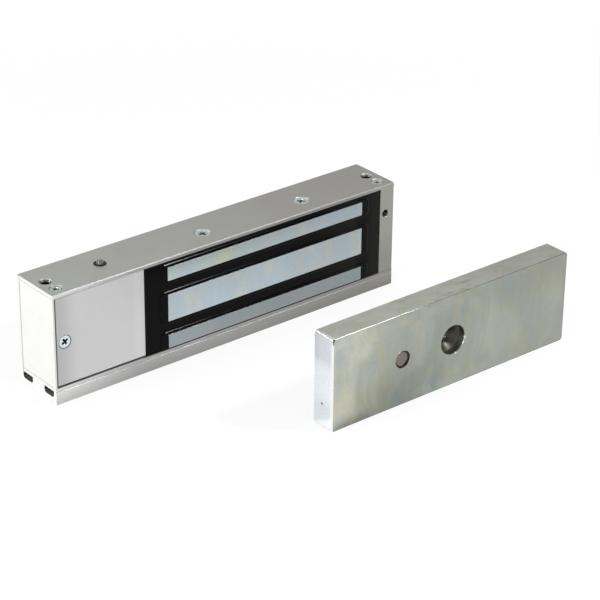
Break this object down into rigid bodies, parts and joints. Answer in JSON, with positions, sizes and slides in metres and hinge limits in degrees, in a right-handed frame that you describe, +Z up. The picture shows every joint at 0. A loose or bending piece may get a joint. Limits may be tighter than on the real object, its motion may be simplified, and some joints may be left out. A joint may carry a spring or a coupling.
{
  "type": "electromagnetic door lock",
  "caption": "Surface-mounted electromagnetic door lock: a long magnet unit on its mounting plate, with the bar-shaped armature plate it holds standing beside it.",
  "frame": {"origin": "centre of the mounting plate's underside, where the magnet unit is fixed to the door frame", "axes": "+X along the lock from the wiring end, -Y out of the pole faces towards the armature, +Z up from the mounting plate"},
  "size_m": [0.2982, 0.1652, 0.0762],
  "materials": {
    "mill_aluminium": "extruded, anodised satin",
    "satin_aluminium": "extruded, anodised satin",
    "brushed_aluminium": "fine satin",
    "bright_zinc": "bright zinc plated",
    "zinc_plated_core": "zinc plated, bluish and mottled",
    "zinc_plated_plate": "zinc plated, with yellow and blue tints",
    "plain_steel_pin": "dull",
    "bobbin_nylon": "moulded",
    "enamelled_copper": "enamelled copper wire",
    "black_resin": "cast, slightly glossy",
    "black_moulding": "moulded",
    "clear_lens": "clear",
    "board_laminate": "solder mask",
    "plated_brass": "nickel plated",
    "green_moulding": "moulded",
    "blue_moulding": "moulded",
    "varistor_epoxy": "dipped epoxy",
    "red_moulding": "moulded",
    "red_insulation": "extruded",
    "white_insulation": "extruded",
    "tinned_wire": "tinned",
    "black_rubber": "moulded"
  },
  "bodies": {
    "root": {"base_plate": "mill_aluminium", "housing": "satin_aluminium", "left_end_block": "satin_aluminium", "right_end_block": "satin_aluminium", "cover_plate": "brushed_aluminium", "cover_screw": "bright_zinc", "end_screws": "bright_zinc", "core_screws": "bright_zinc", "e_core": "zinc_plated_core", "coil_bobbin": "bobbin_nylon", "coil_winding": "enamelled_copper", "potting_resin": "black_resin", "bond_sensor": "black_moulding", "lamp_lens": "clear_lens", "lamp_bezel": "black_moulding", "circuit_board": "board_laminate", "board_standoffs": "plated_brass", "board_screws": "bright_zinc", "terminal_block": "green_moulding", "terminal_screws": "bright_zinc", "relay": "blue_moulding", "varistor": "varistor_epoxy", "jumper_header": "black_moulding", "jumper_cap": "red_moulding", "coil_leads": "red_insulation", "sensor_leads": "white_insulation", "lamp_leads": "tinned_wire", "cable_grommet": "black_rubber", "armature_plate": "zinc_plated_plate", "guide_pin": "plain_steel_pin"}
  },
  "joints": []
}
